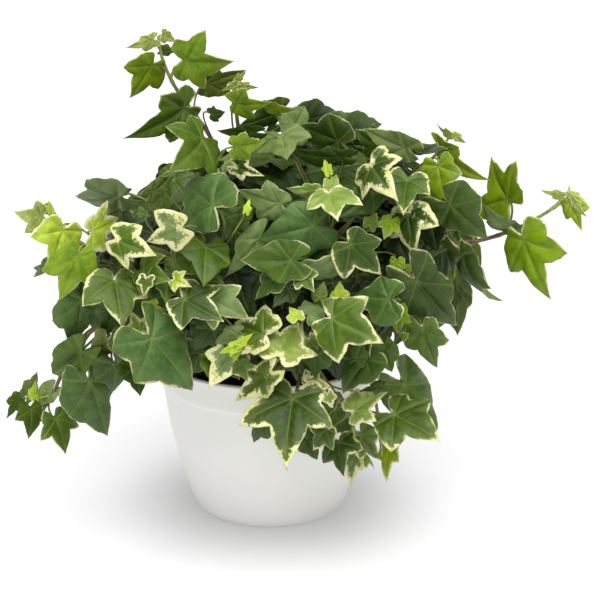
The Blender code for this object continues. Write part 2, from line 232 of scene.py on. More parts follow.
# %% [markdown]
# ## The pot
# The real pot is moulded round, in a warm white with a satin sheen: a smooth tapered cup with a soft foot
# and a wider band under the rim. It is turned again here from the frame's own size, because a coarse solid
# shows its flats along the lip. A profile spun round the axis is the natural way, since a potter makes it
# just so. The profile's corners are rounded by sampling a smooth curve through them before the spin.

# %% Turn the pot
POT_SEGMENTS = 128
WALL = 3.0
pot_low, pot_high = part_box("pot")
RIM = pot_high[0] / MM
POT_HEIGHT = pot_high[2] / MM
BAND_FOOT = POT_HEIGHT - 19.0


def curve_through(points, steps):
    """Points on a smooth curve through the given ones, with steps between each pair."""
    points = [Vector(p) for p in points]
    padded = [2 * points[0] - points[1], *points, 2 * points[-1] - points[-2]]
    found = []
    for k in range(len(points) - 1):
        p0, p1, p2, p3 = padded[k:k + 4]
        for i in range(steps):
            t = i / steps
            found.append(0.5 * (2 * p1 + (p2 - p0) * t + (2 * p0 - 5 * p1 + 4 * p2 - p3) * t * t
                                + (3 * p1 - p0 - 3 * p2 + p3) * t ** 3))
    return found + [points[-1]]


def spin_profile(name, profile, segments):
    """A mesh turned round Z from (radius, height) pairs in millimetres that start and end on the axis."""
    bm = bmesh.new()
    verts = [bm.verts.new((r * MM, 0.0, z * MM)) for r, z in profile]
    edges = [bm.edges.new(pair) for pair in zip(verts, verts[1:])]
    bmesh.ops.spin(bm, geom=verts + edges, axis=(0, 0, 1), cent=(0, 0, 0), angle=math.tau, steps=segments)
    bmesh.ops.remove_doubles(bm, verts=bm.verts, dist=1e-6)
    bmesh.ops.recalc_face_normals(bm, faces=bm.faces)
    return object_of(bm, name)


def object_of(bm, name):
    mesh = bpy.data.meshes.new(name)
    bm.to_mesh(mesh)
    bm.free()
    mesh.shade_smooth()
    return add_object(name, mesh)


band_below = (65.1, BAND_FOOT - 0.8)
band_above = (66.0, BAND_FOOT + 0.5)
lip_inside = (RIM - WALL, POT_HEIGHT - 0.8)
foot = [(0, 1.6), (34.0, 1.6), (36.5, 1.2), (38.5, 0.0)]
side = curve_through([(41.0, 0.0), (44.3, 1.5), (47.6, 6.8), (52.1, 20.0), (56.9, 37.0), (61.0, 54.0),
                      band_below], 5)
step = curve_through([band_below, (65.3, BAND_FOOT - 0.2), band_above], 3)
band = curve_through([band_above, (67.2, POT_HEIGHT - 10.0), (68.4, POT_HEIGHT - 3.6),
                      (RIM, POT_HEIGHT - 1.5), (RIM - 0.6, POT_HEIGHT - 0.3), (RIM - 1.6, POT_HEIGHT),
                      lip_inside], 4)
inside = curve_through([lip_inside, (62.2, BAND_FOOT), (58.0, 54.0), (53.9, 37.0), (49.0, 20.0), (43.4, 7.0),
                        (37.0, 4.4)], 4)
pot = spin_profile("pot_body", [*foot, *side, *step[1:], *band[1:], *inside[1:], (0, 4.4)], POT_SEGMENTS)
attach(pot, "root")
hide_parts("pot")
print("pot", round(2 * RIM), "mm wide,", round(POT_HEIGHT), "mm tall,", len(pot.data.polygons), "faces")

# %% [markdown]
# Drain holes let water out under the roots. Cutting them with a Boolean keeps the turned surface as it is.

# %% Drain holes
DRAIN_HOLES = 4
DRAIN_RADIUS = 4.0
DRAIN_PLACE = 26.0

bm = bmesh.new()
for i in range(DRAIN_HOLES):
    angle = math.tau * (i + 0.5) / DRAIN_HOLES
    place = Vector((math.cos(angle), math.sin(angle), 0.0)) * DRAIN_PLACE * MM
    bmesh.ops.create_cone(bm, cap_ends=True, segments=24, radius1=DRAIN_RADIUS * MM,
                          radius2=DRAIN_RADIUS * MM, depth=20.0 * MM, matrix=Matrix.Translation(place))
punch = object_of(bm, "drain_punch")
holes = pot.modifiers.new("drain_holes", "BOOLEAN")
holes.object = punch
holes.solver = "EXACT"
bpy.context.view_layer.update()
finished = bpy.data.meshes.new_from_object(pot.evaluated_get(bpy.context.evaluated_depsgraph_get()))
pot.modifiers.clear()
pot.data = finished
pot.data.set_sharp_from_angle(angle=math.radians(50))
bpy.data.objects.remove(punch)
print("pot with drain holes has", len(pot.data.polygons), "faces")

# %% [markdown]
# The skin of the pot is a satin white that is a shade warmer here and there. Under a clear coat it has a
# very shallow waviness, the kind that only shows in the way a highlight travels, so the bump is weak and
# wide.

# %% Satin white
glaze = Finish("satin_glaze")
where = glaze.surface_point()
pooling = glaze.mottle(where, 14.0, 4.0)
specks = glaze.mottle(where, 900.0, 1.0)
tint = glaze.blend(pooling, linear(248, 247, 243), linear(241, 239, 234))
glaze.set("Base Color", glaze.blend(glaze.step(specks, 0.70, 0.78, 0.0, 0.35), tint, linear(206, 200, 190)))
glaze.set("Roughness", glaze.step(pooling, 0.3, 0.7, 0.34, 0.46))
glaze.set("Coat Weight", 0.15)
glaze.set("Coat Roughness", 0.25)
glaze.bump(glaze.mottle(where, 30.0, 2.0), 0.12, 0.0006)
pot.data.materials.clear()
pot.data.materials.append(glaze.material)

# %% [markdown]
# ## The potting soil
# Seen between the stems, potting soil is almost black, broken into crumbs and fibres. A flat disc would
# give it away at once. The top is a fine grid pushed up and down by fractal noise, and loose crumbs lie on
# it. Each crumb is a small rock: a coarse ball whose corners are moved at random, half sunk into the soil.

# %% Soil with crumbs
MOUND = 3.0
SOIL_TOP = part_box("soil")[1][2] / MM - MOUND
SOIL_RADIUS = 61.8
SOIL_UNDERSIDE = 50.0
SOIL_RINGS = 34
SOIL_SPOKES = 120
CRUMBS = 420
shaker = random.Random(11)


def soil_height(x, y):
    lump = noise.fractal(Vector((x * 0.09, y * 0.09, 3.0)), 0.9, 2.1, 5)
    return SOIL_TOP + 1.6 * (1 - (math.hypot(x, y) / SOIL_RADIUS) ** 2) + 1.5 * lump


bm = bmesh.new()
centre = bm.verts.new((0.0, 0.0, soil_height(0, 0) * MM))
rings = []
for i in range(1, SOIL_RINGS + 1):
    r = SOIL_RADIUS * i / SOIL_RINGS
    ring = []
    for k in range(SOIL_SPOKES):
        x, y = r * math.cos(math.tau * k / SOIL_SPOKES), r * math.sin(math.tau * k / SOIL_SPOKES)
        ring.append(bm.verts.new((x * MM, y * MM, soil_height(x, y) * MM)))
    rings.append(ring)
under = [bm.verts.new((v.co.x * 0.90, v.co.y * 0.90, SOIL_UNDERSIDE * MM)) for v in rings[-1]]
rings.append(under)
for k in range(SOIL_SPOKES):
    bm.faces.new((centre, rings[0][k], rings[0][(k + 1) % SOIL_SPOKES]))
    for inner, outer in zip(rings, rings[1:]):
        bm.faces.new((inner[k], outer[k], outer[(k + 1) % SOIL_SPOKES], inner[(k + 1) % SOIL_SPOKES]))
bm.faces.new(under[::-1])
for _ in range(CRUMBS):
    r, angle = (SOIL_RADIUS - 3.0) * math.sqrt(shaker.random()), shaker.uniform(0, math.tau)
    x, y = r * math.cos(angle), r * math.sin(angle)
    size = shaker.choice((0.7, 0.9, 1.2, 1.6, 2.2)) * shaker.uniform(0.8, 1.2)
    turn = Matrix.Rotation(shaker.uniform(0, math.tau), 4, "Z")
    turn = turn @ Matrix.Rotation(shaker.uniform(0, 1.5), 4, "X")
    shape = Matrix.Diagonal((size * MM, size * 0.8 * MM, size * 0.6 * MM, 1.0))
    spot = Matrix.Translation((x * MM, y * MM, (soil_height(x, y) + 0.2 * size) * MM))
    made = bmesh.ops.create_icosphere(bm, subdivisions=1, radius=1.0, matrix=spot @ turn @ shape)
    for v in made["verts"]:
        v.co += Vector([shaker.uniform(-0.22, 0.22) * size * MM for _ in range(3)])
bmesh.ops.recalc_face_normals(bm, faces=bm.faces)
soil = object_of(bm, "potting_soil")
soil.data.shade_flat()
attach(soil, "root")
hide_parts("soil")
print("soil", round(2 * SOIL_RADIUS), "mm across with", CRUMBS, "crumbs")

# %% [markdown]
# Damp compost is dark brown where it holds water and greyer where it has dried, with a few pale fibres.

# %% Damp compost
compost = Finish("damp_compost")
where = compost.surface_point()
dry = compost.mottle(where, 260.0, 6.0, 0.7)
earthy = compost.blend(compost.step(dry, 0.35, 0.65), linear(22, 17, 13), linear(66, 52, 40))
fibre = compost.step(compost.mottle(where, 700.0, 2.0), 0.66, 0.74)
compost.set("Base Color", compost.blend(fibre, earthy, linear(120, 98, 70)))
compost.set("Roughness", 0.92)
compost.bump(compost.mottle(where, 500.0, 6.0, 0.7), 0.9, 0.0012)
soil.data.materials.append(compost.material)

# %% [markdown]
# ## Stems
# Ivy sends up many thin woody stems from the middle of the pot. They arch over under the weight of their
# leaves, and some run far out past the rest. Each one is given here as the place where it is rooted in the
# soil and a few points of its route on the plan. A curve with a round bevel could draw them, but a tube
# built ring by ring can thicken at every leaf joint, which is what makes a stem look grown.

# %% Stem routes
STEMS = {
    "top_left": ((-12, 2), [(-22, 140, 38), (-27, 200, 56), (-38, 228, 64), (-58, 256, 70), (-67, 275, 72),
                            (-70, 290, 73)]),
    "top_middle": ((-2, 12), [(-12, 160, 38), (-19, 225, 62), (-22, 250, 68), (-22, 260, 70)]),
    "top_back": ((8, 26), [(20, 150, 12), (34, 195, 22), (46, 222, 30), (58, 232, 34)]),
    "top_right": ((18, 10), [(48, 150, 42), (78, 192, 58), (100, 212, 62), (113, 228, 62)]),
    "right_runner": ((27, -2), [(66, 135, 62), (100, 157, 70), (130, 162, 72), (155, 170, 72),
                                (178, 183, 72), (187, 190, 72)]),
    "right_low": ((26, -17), [(56, 118, 92), (78, 118, 100), (90, 110, 98)]),
    "front_right": ((15, -30), [(40, 98, 104), (58, 86, 104), (66, 62, 88), (70, 28, 74)]),
    "front_middle": ((2, -38), [(14, 84, 108), (26, 84, 118), (38, 70, 120), (50, 52, 116), (53, 40, 110)]),
    "front_left": ((-10, -36), [(-4, 84, 108), (-8, 88, 120), (-19, 95, 126)]),
    "left_low": ((-27, -18), [(-68, 112, 84), (-103, 110, 70), (-122, 96, 62), (-134, 70, 60),
                              (-142, 56, 60), (-152, 42, 60)]),
    "left_middle": ((-29, -3), [(-66, 128, 78), (-98, 143, 74), (-112, 156, 70), (-124, 165, 68),
                                (-137, 177, 66), (-138, 186, 66)]),
    "left_top": ((-20, 15), [(-48, 142, 40), (-70, 170, 44), (-84, 178, 40), (-92, 186, 38)]),
    "crown_left": ((-14, -18), [(-24, 120, 84), (-34, 142, 112), (-30, 160, 122)]),
    "crown_right": ((8, -20), [(16, 120, 84), (30, 146, 110), (34, 172, 116), (34, 190, 110)]),
    "back_left": ((-14, 30), [(-50, 130, -34), (-84, 158, -44), (-104, 166, -40)]),
    "back_middle": ((0, 42), [(-6, 140, -40), (-4, 152, -72), (-2, 134, -92)]),
    "back_right": ((18, 33), [(54, 132, -34), (84, 162, -42), (106, 168, -38)]),
}
STEM_STEPS = 8
BURIED = 10.0
RISE = 8.0

routes = {}
for name, (root, points) in STEMS.items():
    rooted = Vector((*root, SOIL_TOP))
    course = [rooted + Vector((0, 0, RISE)), *(on_plan(*p) for p in points)]
    routes[name] = [rooted - Vector((0, 0, BURIED)), rooted, *curve_through(course, STEM_STEPS)]
print(len(routes), "stems with", sum(len(r) for r in routes.values()), "points")

# %% [markdown]
# A tube needs a little frame that travels along it without twisting. Turning the frame by just the bend
# between one piece of the route and the next keeps it steady. The same helper draws the leaf stalks.

# %% Helpers for tubes
def ring_quads(rings, sides):
    """Faces that join each ring of points to the next one."""
    quads = []
    for i in range(rings - 1):
        for k in range(sides):
            m = (k + 1) % sides
            quads.append((i * sides + k, i * sides + m, (i + 1) * sides + m, (i + 1) * sides + k))
    return quads


def tube(path, radii, sides):
    """(points, faces) of a closed tube of millimetres along path."""
    points = []
    heading = (path[1] - path[0]).normalized()
    across = heading.orthogonal().normalized()
    for i, place in enumerate(path):
        ahead = (path[min(i + 1, len(path) - 1)] - path[max(i - 1, 0)]).normalized()
        across = heading.rotation_difference(ahead) @ across
        heading = ahead
        beside = heading.cross(across)
        for k in range(sides):
            angle = math.tau * k / sides
            points.append(place + (math.cos(angle) * across + math.sin(angle) * beside) * radii[i])
    ends = [tuple(range(sides))[::-1], tuple(range(len(points) - sides, len(points)))]
    return points, ring_quads(len(path), sides) + ends


# %% [markdown]
# ## One ivy blade
# A grown ivy leaf has five lobes, and a main vein runs from the stalk to the point of each lobe. That is
# the key to the mesh: rays go out from the stalk to the outline, and the veins lie exactly on the rays that
# reach the lobe points. A leaf cut from a flat grid would need far more faces to draw the same points. The
# outline is half a leaf, from the tip round to the notch. A vein ends in the tip, in every point and in the
# first rounded lobe at the base, and the bays lie between them. Three kinds cover what the plant shows:
# lobed, broad and shallow, and narrow.

# %% Outlines
TIP, POINT, ROUND, BAY = "tip", "point", "round", "bay"
NOTCH = -0.02
LOBED = [(0.0, 1.0, TIP), (0.26, 0.48, BAY), (0.60, 0.44, POINT), (0.45, 0.12, BAY),
         (0.41, -0.10, ROUND), (0.20, -0.22, ROUND), (0.0, NOTCH, ROUND)]
BROAD = [(0.0, 1.0, TIP), (0.29, 0.56, BAY), (0.55, 0.35, POINT), (0.51, 0.08, BAY),
         (0.46, -0.19, ROUND), (0.22, -0.32, ROUND), (0.0, NOTCH, ROUND)]
NARROW = [(0.0, 1.0, TIP), (0.19, 0.48, BAY), (0.40, 0.38, POINT), (0.33, 0.12, BAY),
          (0.31, -0.12, ROUND), (0.16, -0.20, ROUND), (0.0, NOTCH, ROUND)]
OUTLINES = {"L": LOBED, "B": BROAD, "N": NARROW}
FULL_WIDTH = {"L": 1.18, "B": 1.18, "N": 0.84}
SIDE_RAYS = 6
BASAL_LOBE = 4
POINTED_SHARE = 0.3
RIPPLE = 0.008
BULGE = {TIP: -0.06, POINT: 0.24, BAY: 0.36}


def half_outline(kind, dice):
    """Points of one half, tip to notch, with its own lobes and ripples; and which of them end a vein."""
    stretch = 1.0
    keys = []
    for x, y, turn in OUTLINES[kind]:
        if turn != BAY and x:
            stretch = dice.uniform(0.86, 1.12)
        if turn == ROUND and len(keys) == BASAL_LOBE and kind == "L" and dice.random() < POINTED_SHARE:
            turn = POINT
        if turn == BAY:
            x, y = x * dice.uniform(0.85, 1.2), y * dice.uniform(0.92, 1.05)
        keys.append((Vector((x * stretch, y * (stretch if x else 1.0))), turn))
    points, vein_ends = [], []
    for k in range(len(keys) - 1):
        (a, a_turn), (b, b_turn) = keys[k], keys[k + 1]
        run = b - a
        outward = Vector((-run.y, run.x))
        leave = (b - keys[k - 1][0]) * 0.55 if a_turn == ROUND else run + BULGE[a_turn] * outward
        if b_turn != ROUND:
            arrive = run - BULGE[b_turn] * outward
        elif k + 2 < len(keys):
            arrive = (keys[k + 2][0] - a) * 0.55
        else:
            arrive = run
        if a_turn in (TIP, POINT) or (a_turn == ROUND and k == BASAL_LOBE):
            vein_ends.append(len(points))
        for i in range(SIDE_RAYS):
            t = i / SIDE_RAYS
            ripple = outward.normalized() * dice.uniform(-RIPPLE, RIPPLE) * (i > 0)
            points.append(ripple + (2 * t ** 3 - 3 * t ** 2 + 1) * a + (t ** 3 - 2 * t ** 2 + t) * leave
                          + (3 * t ** 2 - 2 * t ** 3) * b + (t ** 3 - t ** 2) * arrive)
    return points, vein_ends


# %% [markdown]
# Now the blade's surface. Between its veins a leaf puffs up a little, the veins lie in shallow grooves, the
# lobes and the tip droop, and the margin ripples. All of these are small moves off the leaf's plane, and
# each leaf throws its own dice for them, so no two are alike. Each point also remembers how far it is from
# the margin and from the nearest vein: the leaf's paint is drawn from those later.

# %% Helper for a blade
RINGS = (0.0, 0.16, 0.34, 0.52, 0.70, 0.84, 0.94, 1.0)
HEART = 0.06
PUFF = 0.075
GROOVE = 0.014
RIPPLES = ((5, 0.016), (9, 0.012), (16, 0.007))


def blade(kind, dice, crinkle=1.0):
    """A blade of length 1 along +Y that faces +Z: its points, ring by ring, and each one's distance from the
    margin, along its vein and across from it."""
    right, right_lobes = half_outline(kind, dice)
    left, left_lobes = half_outline(kind, dice)
    rim = right + [Vector((0.0, NOTCH))] + [Vector((-p.x, p.y)) for p in reversed(left[1:])]
    lobe_rays = right_lobes + [len(rim) - k for k in left_lobes[1:]]
    edge = np.array([(p.x, p.y) for p in rim])
    fractions = np.array(RINGS)[:, None, None]
    heart = np.array((0.0, HEART))
    flat = heart + (edge - heart)[None] * fractions

    vein_ends = edge[lobe_rays] - heart
    lengths = np.linalg.norm(vein_ends, axis=1)
    directions = vein_ends / lengths[:, None]
    offsets = flat - heart
    along = np.einsum("rki,vi->rkv", offsets, directions)
    across = np.abs(offsets[..., 0, None] * directions[:, 1] - offsets[..., 1, None] * directions[:, 0])
    across = np.where(along < 0, np.linalg.norm(offsets, axis=-1)[..., None], across)
    nearest = across.argmin(-1)[..., None]
    across = np.take_along_axis(across, nearest, -1)[..., 0]
    along = np.take_along_axis(along, nearest, -1)[..., 0]

    starts, ends = edge, np.roll(edge, -1, axis=0)
    runs = ends - starts
    away = flat[:, :, None] - starts
    share = np.clip((away * runs).sum(-1) / (runs ** 2).sum(-1), 0, 1)
    margin = np.linalg.norm(away - share[..., None] * runs, axis=-1).min(-1)

    x, y = flat[..., 0], flat[..., 1]
    out = np.array(RINGS)[:, None]
    angle = np.arctan2(x, y + 1e-6)
    fold = dice.uniform(0.02, 0.26)
    droop = dice.uniform(0.15, 0.55)
    nod = dice.uniform(0.05, 0.38)
    twist = dice.uniform(-0.22, 0.22)
    z = fold * np.abs(x) - droop * x ** 2 - nod * np.maximum(0, y - 0.15) ** 2 + twist * x * y
    z += PUFF * np.sqrt(across) * (1 - out ** 3) - GROOVE * np.exp(-(across / 0.03) ** 2)
    for waves, size in RIPPLES:
        z += crinkle * size * out ** 2 * np.sin(waves * angle + dice.uniform(0, math.tau))
    x = x + dice.uniform(-0.10, 0.10) * y ** 2
    return np.stack((x, y, z - z[0, 0]), -1), margin, along, across


shown, *_ = blade("L", random.Random(1))
print("a blade has", shown.shape[1], "rays and", shown.shape[0], "rings")

# %% [markdown]
# ## The canopy
# The foliage of a well-filled pot is a dome. Its near side is worked out along the line of sight: an egg
# round the pot's axis, and in front a skirt of leaves that hangs clear of the rim. A leaf that is laid on
# the plan at two places, its stalk end and its tip, is lifted onto this dome, and so gets its slope from
# it.

# %% The dome
DOME_CENTRE = Vector((0.0, 0.0, 150.0))
DOME_RADII = Vector((145.0, 115.0, 105.0))
SKIRT_RADIUS = 85.0
SKIRT_TOP = 80.0


def dome_depth(x, h):
    """How far out from the plan the dome's near side is, or its nearest pass where a sight line misses it."""
    stretch = Vector(1.0 / r for r in DOME_RADII)
    start = (on_plan(x, h) - DOME_CENTRE) * stretch
    sight = (EYE - on_plan(x, h)).normalized() * stretch
    a, b, c = sight.dot(sight), start.dot(sight), start.dot(start) - 1.0
    depth = (-b + math.sqrt(max(0.0, b * b - a * c))) / a
    if h < SKIRT_TOP and abs(x) < SKIRT_RADIUS:
        front = -math.sqrt(SKIRT_RADIUS ** 2 - x * x)
        depth = max(depth, (h * math.sin(LEAN) - front) / math.cos(LEAN))
    return depth


def dome_normal(point):
    return Vector((p - c) / (r * r) for p, c, r in zip(point, DOME_CENTRE, DOME_RADII)).normalized()


print("the dome's front is", round(dome_depth(0, 120)), "mm out from the plan")

# %% [markdown]
# ## Where the leaves are
# Each row is one leaf: its stalk end (across, up), its tip (across, up), how wide it looks, and a short
# code: first its tone, then how wide its cream margin is from 0 to 3, then its outline. A last number lifts
# the leaf off the dome. Leaves that hide others come first in their group, and later ones give way to them.
# Tones: d dark, s deep and saturated, a painted shade, b bluish, m middling, g greyish, a painted sheen, l
# light, a painted glow from behind, y young, p pale tip, c cream, o olive.

# %% Leaf rows
ROWS = {
"top_left": [
    (-54, 275, -24, 270, 32, "l1L", 22), (-53, 246, -83, 223, 30, "m1L", 24),
    (-73, 273, -88, 251, 22, "l1L", 20), (-42, 226, -54, 207, 38, "m1L", 34),
    (-22, 221, -2, 223, 17, "l1L", 34), (-41, 260, -15, 269, 17, "o0L", 4),
    (-73, 288, -90, 281, 11, "p1N", 18), (-67, 291, -59, 286, 8, "p0N", 6),
    (-68, 281, -56, 281, 8, "o0N", 4), (-37, 241, -28, 241, 10, "d0N", 30),
    (-22, 209, -5, 202, 13, "d3L", 14), (-35, 212, -52, 205, 12, "d0B", 8),
    (-54, 208, -70, 201, 8, "g1N", 12)],
"top_middle": [
    (-22, 248, -1, 245, 17, "l1L", 42), (-1, 246, 15, 242, 8, "l1N", 20), (5, 243, -16, 233, 14, "d0B", 6),
    (-10, 230, -33, 228, 9, "d0B", 14), (-21, 260, -30, 255, 6, "p0N", 24),
    (-18, 259, -7, 257, 6, "p0N", 14), (-21, 262, -14, 268, 5, "p0N", 10)],
"top_back": [
    (44, 224, 17, 234, 26, "d1B", 6), (7, 228, 10, 214, 32, "g0B", 4), (68, 221, 51, 230, 20, "m1L", 2),
    (14, 231, 23, 248, 24, "g0B", -12), (40, 232, 72, 230, 24, "g0B", -14),
    (45, 215, 13, 214, 12, "d0B", -4), (20, 238, 44, 243, 18, "d0B", -24)],
"top_right": [
    (86, 220, 58, 230, 18, "g1B", 20), (63, 210, 75, 192, 34, "d3L", 26), (37, 192, 39, 178, 30, "c2L", 22),
    (88, 220, 112, 216, 9, "g1B", 16), (37, 204, 33, 214, 6, "y0N", 20), (86, 201, 81, 180, 32, "m2L", 20),
    (105, 210, 110, 184, 27, "l1L", 34), (107, 220, 130, 194, 13, "y1N", 16),
    (113, 228, 103, 233, 5, "p0N", 18), (115, 228, 122, 222, 6, "p0N", 6),
    (111, 186, 137, 163, 30, "m1B", 22), (150, 186, 132, 212, 34, "l1L", 28),
    (152, 169, 131, 179, 8, "g0B", 14), (28, 194, 10, 194, 8, "c2N", 18), (38, 194, 43, 204, 12, "c2N", 22)],
"right_runner": [
    (158, 165, 172, 124, 33, "l1L", 34), (120, 156, 137, 114, 19, "d1L", 26),
    (187, 187, 196, 168, 15, "y1L", 22), (189, 188, 197, 176, 6, "p1N", 26),
    (183, 190, 169, 193, 6, "p0N", 24), (189, 190, 197, 187, 6, "p0N", 24),
    (187, 190, 187, 197, 4, "p0N", 24)],
"right": [
    (86, 180, 91, 153, 28, "d3L", 12), (76, 175, 71, 163, 15, "l1L", 8), (62, 171, 68, 181, 10, "m1N", 10),
    (100, 178, 105, 155, 22, "s0B", 2), (78, 168, 84, 150, 22, "s0B", 0), (66, 193, 42, 175, 20, "d0B", 4),
    (90, 139, 117, 103, 34, "d1B", 12), (76, 126, 50, 127, 30, "b1B", 12), (37, 114, 69, 100, 38, "m2L", 16),
    (80, 120, 80, 102, 16, "l1L", 2), (95, 109, 103, 79, 25, "m1L", 6), (79, 149, 79, 139, 10, "l1B", 6),
    (82, 137, 90, 112, 18, "s0B", -6), (84, 104, 83, 98, 6, "l1N", 4), (87, 146, 85, 140, 6, "l1N", 4)],
"centre": [
    (15, 150, -19, 148, 28, "m1B", 12), (29, 172, -6, 162, 36, "b0B", 6), (49, 161, 71, 140, 29, "d2L", 14),
    (7, 185, -22, 193, 23, "g1L", 6), (24, 142, 63, 142, 14, "g1L", 8), (-16, 184, -24, 168, 18, "m0B", 0),
    (-25, 178, -28, 163, 14, "d0B", 0), (-5, 165, -27, 139, 18, "g0B", 0), (6, 141, -9, 124, 15, "d1B", 4),
    (12, 133, 1, 121, 17, "d0B", 0), (20, 141, 27, 132, 14, "m2L", 4), (31, 126, 33, 137, 10, "o0B", 2),
    (43, 125, 43, 137, 11, "y1B", 4), (-15, 180, -12, 189, 5, "y0N", 10)],
"front": [
    (15, 66, 5, 22, 50, "d2L", 22), (6, 90, 21, 113, 32, "c3L", 20), (-2, 103, -27, 111, 34, "m3L", 12),
    (1, 80, -24, 60, 22, "m3L", 12), (76, 54, 107, 38, 38, "m2L", 30), (82, 74, 107, 40, 32, "m1B", -22),
    (52, 55, 71, 68, 22, "c3L", 16), (24, 72, 39, 71, 15, "c3L", 14), (24, 73, 31, 84, 12, "d3L", 12),
    (36, 67, 40, 56, 9, "c3N", 14), (62, 89, 43, 66, 25, "d1B", 6), (54, 88, 59, 101, 13, "d0B", 4),
    (39, 94, 44, 69, 15, "s0B", 0), (71, 97, 75, 78, 15, "m0B", 2), (24, 101, 30, 87, 11, "c3N", 12),
    (17, 113, 13, 122, 11, "y2N", 12), (24, 116, 35, 125, 16, "g1B", 6), (-20, 96, -33, 92, 7, "y0N", 26),
    (-20, 97, -10, 104, 6, "y0N", 28), (-20, 95, -22, 84, 5, "y0N", 28), (-23, 92, -38, 72, 27, "g3L", 10),
    (-45, 93, -31, 77, 19, "d0B", -4), (-26, 91, -17, 74, 18, "d1B", -8), (18, 90, 17, 72, 17, "d0B", -8),
    (-36, 108, -47, 91, 18, "d0B", 2), (-20, 104, -36, 99, 12, "g0B", 4), (70, 71, 56, 68, 8, "d0N", 8),
    (36, 45, 25, 30, 18, "m2L", 10), (43, 37, 45, 16, 23, "d2L", 12), (54, 30, 49, 8, 17, "g3L", 8),
    (56, 42, 70, 23, 20, "m2L", 14), (40, 57, 54, 36, 19, "m0B", 6), (22, 40, 30, 24, 16, "d0B", 4),
    (-2, 50, -14, 35, 14, "d0B", 2), (54, 30, 69, 22, 9, "l1N", 8), (75, 34, 70, 12, 14, "l2L", 4),
    (-10, 91, -8, 74, 17, "d0B", 8), (3, 90, 6, 74, 16, "m1B", 8), (-37, 88, -36, 74, 16, "m0B", 10),
    (30, 92, 27, 75, 16, "d0B", 8), (-19, 86, -15, 74, 13, "m1L", 12)],
"left_front": [
    (-34, 183, -57, 202, 38, "b1B", 22), (-76, 103, -45, 67, 42, "b1B", 26),
    (-40, 159, -42, 136, 31, "m0B", 12), (-55, 126, -31, 111, 32, "d2L", 14),
    (-37, 126, -15, 113, 27, "g2L", 6), (-55, 170, -79, 161, 25, "g3L", 18),
    (-60, 150, -47, 141, 14, "m1B", 8), (-60, 138, -51, 134, 13, "y3L", 12),
    (-80, 144, -66, 137, 23, "m1L", 12), (-65, 134, -66, 124, 12, "m1N", 10),
    (-81, 105, -88, 119, 14, "c3L", 14), (-92, 104, -96, 83, 17, "d1B", 10),
    (-96, 122, -104, 101, 20, "d0B", 2), (-102, 101, -109, 84, 17, "o1B", 4),
    (-98, 86, -95, 63, 22, "d0B", 4), (-85, 83, -82, 65, 19, "d0B", 8), (-114, 76, -99, 39, 34, "b1B", 28),
    (-117, 94, -139, 74, 27, "m0B", 14), (-113, 91, -117, 79, 10, "o0N", 10),
    (-118, 127, -121, 95, 28, "b0B", 10), (-116, 139, -118, 126, 11, "d1N", 10),
    (-138, 150, -148, 137, 9, "g0N", 30), (-37, 141, -29, 136, 11, "m0N", 4),
    (-72, 122, -77, 125, 7, "y0N", 12)],
"left_middle": [
    (-97, 139, -93, 110, 34, "m2L", 20), (-129, 170, -138, 143, 29, "y2L", 40),
    (-120, 154, -131, 122, 27, "l1L", 30), (-142, 178, -159, 177, 19, "p1L", 42),
    (-112, 168, -92, 175, 25, "y3L", 32), (-96, 163, -73, 153, 25, "m3L", 28),
    (-136, 176, -137, 188, 6, "y0N", 38), (-92, 157, -86, 148, 11, "c3N", 22),
    (-77, 139, -80, 127, 11, "m3N", 14), (-93, 190, -126, 185, 20, "g0B", 4),
    (-72, 191, -88, 187, 10, "g0B", 2), (-74, 192, -57, 205, 10, "o0B", 4),
    (-79, 178, -81, 184, 8, "m1N", 12)],
"left_low": [
    (-150, 58, -148, 39, 19, "m0L", 4), (-135, 52, -125, 30, 23, "m1L", 6),
    (-136, 69, -149, 57, 14, "g0B", -4), (-157, 64, -165, 51, 11, "m0L", -8),
    (-152, 66, -144, 80, 11, "g0B", -14), (-147, 65, -147, 75, 7, "y0B", 2)],
}
print(sum(len(rows) for rows in ROWS.values()), "leaves laid out by hand")

# %% [markdown]
# ## Setting a blade in its place
# The stalk end and the tip fix where the midrib runs. What is left is how the blade turns round it. It
# leans from the viewer towards the outside of the dome, and is made wider by as much as the lean hides. One
# that looks narrow is a leaf of ordinary width seen on its edge, so it is rolled further, and one that
# looks too wide for its length is tipped towards the eye. That way every leaf keeps a natural outline from
# all sides.

# %% Helper for a leaf's place
STEEPEST = 0.8
MOST_TIPPED = 1.5
LEAN_SHARE = 0.55
MOST_LEAN = math.radians(34.0)
EDGE_ON = 0.5
ORDINARY = 0.74
YOUNG_CRINKLE = 0.7


class Leaf:
    """A blade with its paint and where it is."""

    def __init__(self, kind, tone, cream, base, tip, dice):
        self.kind, self.tone, self.cream, self.dice = kind, tone, cream, dice
        self.base, self.tip = base, tip
        self.width, self.roll = (tip - base).length, 0.0
        self.facing = (EYE - base).normalized()
        self.shape = blade(kind, dice, YOUNG_CRINKLE if tone in "yp" else 1.0)

    def frame(self):
        along = (self.tip - self.base).normalized()
        facing = (self.facing - self.facing.dot(along) * along).normalized()
        facing = Matrix.Rotation(self.roll, 3, along) @ facing
        length = (self.tip - self.base).length
        across = along.cross(facing) * (self.width / FULL_WIDTH[self.kind])
        turned = Matrix((across, along * length, facing * length)).transposed().to_4x4()
        return Matrix.Translation(self.base) @ turned

    def points(self):
        flat = self.shape[0].reshape(-1, 3)
        m = np.array(self.frame())
        return flat @ m[:3, :3].T + m[:3, 3]

    def shift(self, move):
        self.base = self.base + move
        self.tip = self.tip + move


